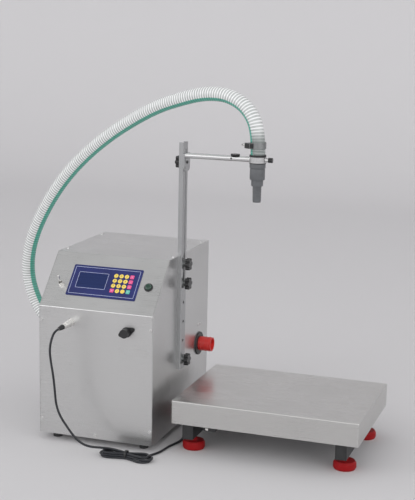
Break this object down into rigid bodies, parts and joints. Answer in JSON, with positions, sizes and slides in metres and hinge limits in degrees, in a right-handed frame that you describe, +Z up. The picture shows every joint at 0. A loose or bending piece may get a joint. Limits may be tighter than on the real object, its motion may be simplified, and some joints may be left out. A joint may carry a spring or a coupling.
{
  "type": "semi-automatic weigh filler",
  "caption": "Liquid weigh filler: steel cabinet with an inside gear pump and sloped keypad, side mast and arm with a hose-fed nozzle over a separate weighing platform.",
  "frame": {"origin": "middle of the footprint on the floor, the hose and the cable left out", "axes": "+Z up, -Y towards the operator at the keypad, +X from the cabinet towards the weighing platform"},
  "size_m": [1.1289, 0.5554, 0.9493],
  "materials": {
    "cabinet_steel": "brushed sheet",
    "zinc_screws": "plated",
    "black_rubber": "matte",
    "keypad_blue": "printed film",
    "display_navy": "glossy window",
    "board_green": "circuit board",
    "key_yellow": "satin",
    "key_pink": "satin",
    "key_green": "satin",
    "black_plastic": "moulded",
    "green_button": "moulded",
    "switch_metal": "nickel plate",
    "plug_metal": "nickel plate",
    "red_cap": "soft moulded",
    "port_black": "moulded",
    "clamp_steel": "polished",
    "motor_paint": "painted",
    "cast_grey": "machined casting",
    "gear_steel": "ground",
    "mast_steel": "brushed",
    "knob_black": "moulded",
    "arm_steel": "polished tube",
    "nozzle_grey": "bead blasted",
    "hose_clear": "clear reinforced wall",
    "pan_steel": "brushed sheet",
    "scale_alloy": "milled",
    "frame_black": "powder coat",
    "foot_red": "moulded",
    "cable_black": "matte jacket"
  },
  "bodies": {
    "frame": {"front_cover": "cabinet_steel", "left_side_panel": "cabinet_steel", "right_side_panel": "cabinet_steel", "base_plate": "cabinet_steel", "rear_panel": "cabinet_steel", "panel_screws": "zinc_screws", "cabinet_feet": "black_rubber", "keypad_panel": "keypad_blue", "display_module": "display_navy", "control_board": "board_green", "button_bezel": "black_plastic", "toggle_body": "switch_metal", "aux_socket": "black_plastic", "sensor_socket": "plug_metal", "sensor_plug": "plug_metal", "inlet_port": "port_black", "outlet_port": "port_black", "outlet_hose_clamp": "clamp_steel", "pump_motor": "motor_paint", "motor_bracket": "frame_black", "pump_housing": "cast_grey", "mains_inlet": "black_plastic", "mast": "mast_steel", "mast_washers": "clamp_steel", "hose": "hose_clear", "scale_spider": "scale_alloy", "load_cell": "scale_alloy", "scale_base": "frame_black", "tube_end_caps": "black_plastic", "cable_gland": "black_plastic", "sensor_cable": "cable_black", "platform_cable": "cable_black", "cable_hank": "cable_black"},
    "number_keys": {"number_keys": "key_yellow"},
    "function_keys": {"function_keys": "key_pink"},
    "enter_key": {"enter_key": "key_green"},
    "start_button": {"start_button": "green_button"},
    "toggle_lever": {"toggle_lever": "switch_metal"},
    "dust_cap": {"dust_cap": "black_plastic"},
    "coupling_ring": {"coupling_ring": "plug_metal"},
    "inlet_cap": {"inlet_cap": "red_cap"},
    "drive_rotor": {"drive_rotor": "gear_steel"},
    "driven_gear": {"driven_gear": "gear_steel"},
    "mast_knob_top": {"mast_knob_top": "knob_black"},
    "mast_knob_middle": {"mast_knob_middle": "knob_black"},
    "mast_knob_bottom": {"mast_knob_bottom": "knob_black"},
    "arm": {"arm_bracket": "mast_steel", "arm_tube": "arm_steel", "hose_fitting": "port_black", "nozzle_body": "nozzle_grey", "nozzle_tip": "nozzle_grey", "nozzle_hose_clamp": "clamp_steel"},
    "arm_knob": {"arm_knob": "knob_black"},
    "arm_end_screw": {"arm_end_screw": "knob_black"},
    "nozzle_screw": {"nozzle_screw": "knob_black"},
    "pan": {"scale_pan": "pan_steel"},
    "foot_front_left": {"scale_foot_front_left": "foot_red"},
    "foot_front_right": {"scale_foot_front_right": "foot_red"},
    "foot_rear_left": {"scale_foot_rear_left": "foot_red"},
    "foot_rear_right": {"scale_foot_rear_right": "foot_red"}
  },
  "joints": [
    {"name": "number_keys_press", "type": "slide", "parent": "frame", "child": "number_keys", "axis": [0, 0.7299, -0.6836], "range_m": [0, 0.0004], "stiffness_N_per_m": 2000},
    {"name": "function_keys_press", "type": "slide", "parent": "frame", "child": "function_keys", "axis": [0, 0.7299, -0.6836], "range_m": [0, 0.0004], "stiffness_N_per_m": 2000},
    {"name": "enter_key_press", "type": "slide", "parent": "frame", "child": "enter_key", "axis": [0, 0.7299, -0.6836], "range_m": [0, 0.0004], "stiffness_N_per_m": 2000},
    {"name": "start_button_press", "type": "slide", "parent": "frame", "child": "start_button", "axis": [0, 0.7299, -0.6836], "range_m": [0, 0.003], "stiffness_N_per_m": 800},
    {"name": "toggle_tilt", "type": "hinge", "parent": "frame", "child": "toggle_lever", "pos_m": [-0.363, -0.16348, 0.42319], "axis": [1, 0, 0], "range_deg": [0, 24]},
    {"name": "dust_cap_turn", "type": "hinge", "parent": "frame", "child": "dust_cap", "pos_m": [-0.1545, -0.20875, 0.321], "axis": [0, -1, 0], "continuous": true},
    {"name": "coupling_ring_turn", "type": "hinge", "parent": "frame", "child": "coupling_ring", "pos_m": [-0.313, -0.20875, 0.331], "axis": [0, -1, 0], "continuous": true},
    {"name": "inlet_cap_pull", "type": "slide", "parent": "frame", "child": "inlet_cap", "axis": [1, 0, 0], "range_m": [0, 0.06]},
    {"name": "drive_rotor_spin", "type": "hinge", "parent": "frame", "child": "drive_rotor", "pos_m": [-0.243, 0.15225, 0.191], "axis": [0, 1, 0], "continuous": true},
    {"name": "driven_gear_spin", "type": "hinge", "parent": "frame", "child": "driven_gear", "pos_m": [-0.243, 0.15225, 0.227], "axis": [0, 1, 0], "continuous": true},
    {"name": "mast_knob_top_turn", "type": "hinge", "parent": "frame", "child": "mast_knob_top", "pos_m": [-0.0685, -0.01575, 0.473], "axis": [1, 0, 0], "continuous": true},
    {"name": "mast_knob_middle_turn", "type": "hinge", "parent": "frame", "child": "mast_knob_middle", "pos_m": [-0.0685, -0.01575, 0.42], "axis": [1, 0, 0], "continuous": true},
    {"name": "mast_knob_bottom_turn", "type": "hinge", "parent": "frame", "child": "mast_knob_bottom", "pos_m": [-0.0685, -0.01575, 0.208], "axis": [1, 0, 0], "continuous": true},
    {"name": "arm_height", "type": "slide", "parent": "frame", "child": "arm", "axis": [0, 0, 1], "range_m": [-0.225, 0.018], "deforming": ["hose"]},
    {"name": "arm_knob_turn", "type": "hinge", "parent": "arm", "child": "arm_knob", "pos_m": [-0.081, -0.01575, 0.749], "axis": [-1, 0, 0], "continuous": true},
    {"name": "arm_end_screw_turn", "type": "hinge", "parent": "arm", "child": "arm_end_screw", "pos_m": [0.073, -0.02875, 0.768], "axis": [0, 0, 1], "continuous": true},
    {"name": "nozzle_screw_turn", "type": "hinge", "parent": "arm", "child": "nozzle_screw", "pos_m": [0.134, -0.02875, 0.768], "axis": [1, 0, 0], "continuous": true},
    {"name": "pan_lift", "type": "slide", "parent": "frame", "child": "pan", "axis": [0, 0, 1], "range_m": [0, 0.04]},
    {"name": "foot_front_left_turn", "type": "hinge", "parent": "frame", "child": "foot_front_left", "pos_m": [0.006, -0.12275, 0], "axis": [0, 0, 1], "continuous": true},
    {"name": "foot_front_right_turn", "type": "hinge", "parent": "frame", "child": "foot_front_right", "pos_m": [0.416, -0.12275, 0], "axis": [0, 0, 1], "continuous": true},
    {"name": "foot_rear_left_turn", "type": "hinge", "parent": "frame", "child": "foot_rear_left", "pos_m": [0.006, 0.12925, 0], "axis": [0, 0, 1], "continuous": true},
    {"name": "foot_rear_right_turn", "type": "hinge", "parent": "frame", "child": "foot_rear_right", "pos_m": [0.416, 0.12925, 0], "axis": [0, 0, 1], "continuous": true}
  ],
  "couplings": [
    {"joint": "driven_gear_spin", "follows": "drive_rotor_spin", "ratio": -1}
  ]
}
